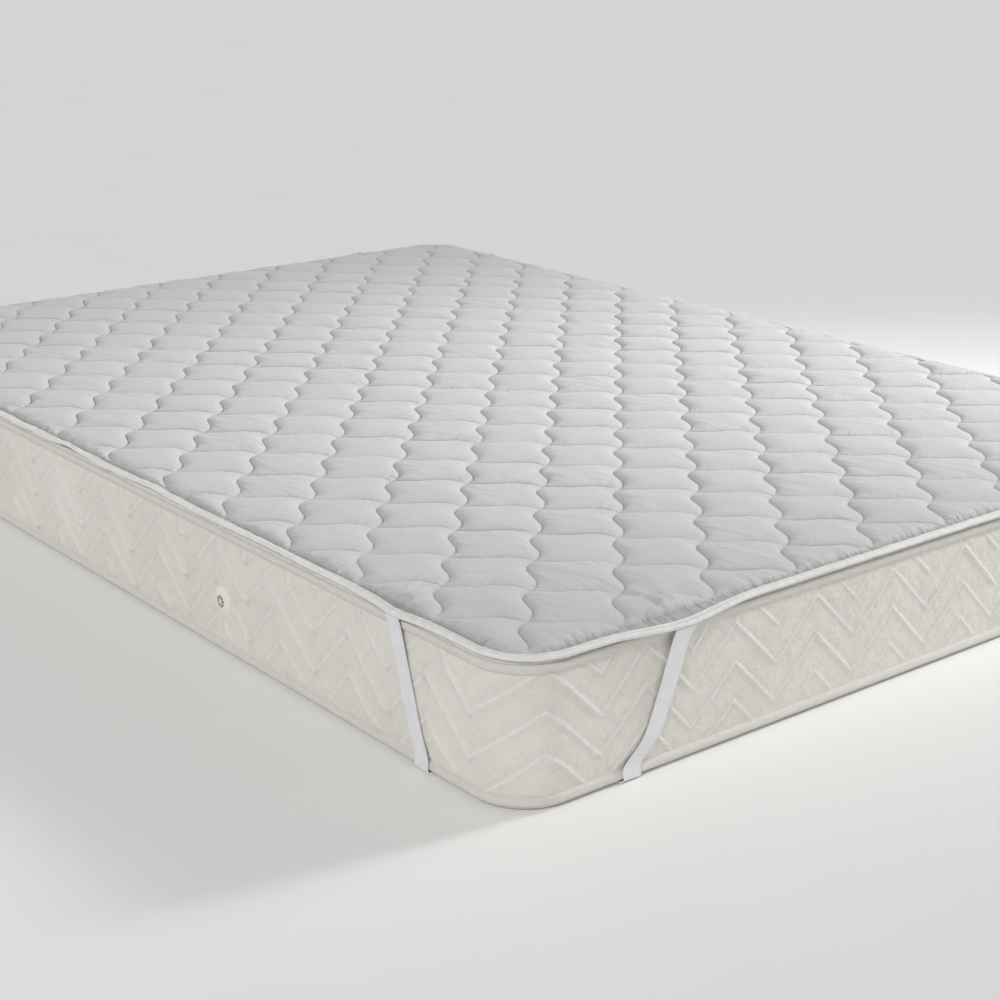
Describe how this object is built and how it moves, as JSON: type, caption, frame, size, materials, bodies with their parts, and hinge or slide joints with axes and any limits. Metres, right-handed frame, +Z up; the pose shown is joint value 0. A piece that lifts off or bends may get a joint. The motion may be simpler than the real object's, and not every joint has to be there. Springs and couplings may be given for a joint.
{
  "type": "quilted mattress protector on a mattress",
  "caption": "Quilted mattress protector with puffed wavy-seamed quilting, a folded edge binding and elastic corner bands, fitted flat on a plain mattress.",
  "frame": {"origin": "centre of the bounding box's bottom, on the floor under the middle of the mattress", "axes": "+X across the bed, +Y along it from the foot end to the head end, +Z up"},
  "size_m": [1.4196, 2.034, 0.1946],
  "materials": {
    "quilted_cloth": "matt brushed microfibre, off-white",
    "binding_cloth": "matt woven, white",
    "band_elastic": "matt woven elastic, white",
    "mattress_ticking": "soft sheen woven, ivory",
    "mattress_tape": "ribbed tape, ivory",
    "vent_plastic": "moulded, cream"
  },
  "bodies": {
    "root": {"quilted_panel": "quilted_cloth", "edge_binding": "binding_cloth", "corner_band_left_foot": "band_elastic", "corner_band_right_foot": "band_elastic", "corner_band_right_head": "band_elastic", "corner_band_left_head": "band_elastic", "mattress": "mattress_ticking", "mattress_tape_top": "mattress_tape", "mattress_tape_bottom": "mattress_tape", "air_vent": "vent_plastic"}
  },
  "joints": []
}
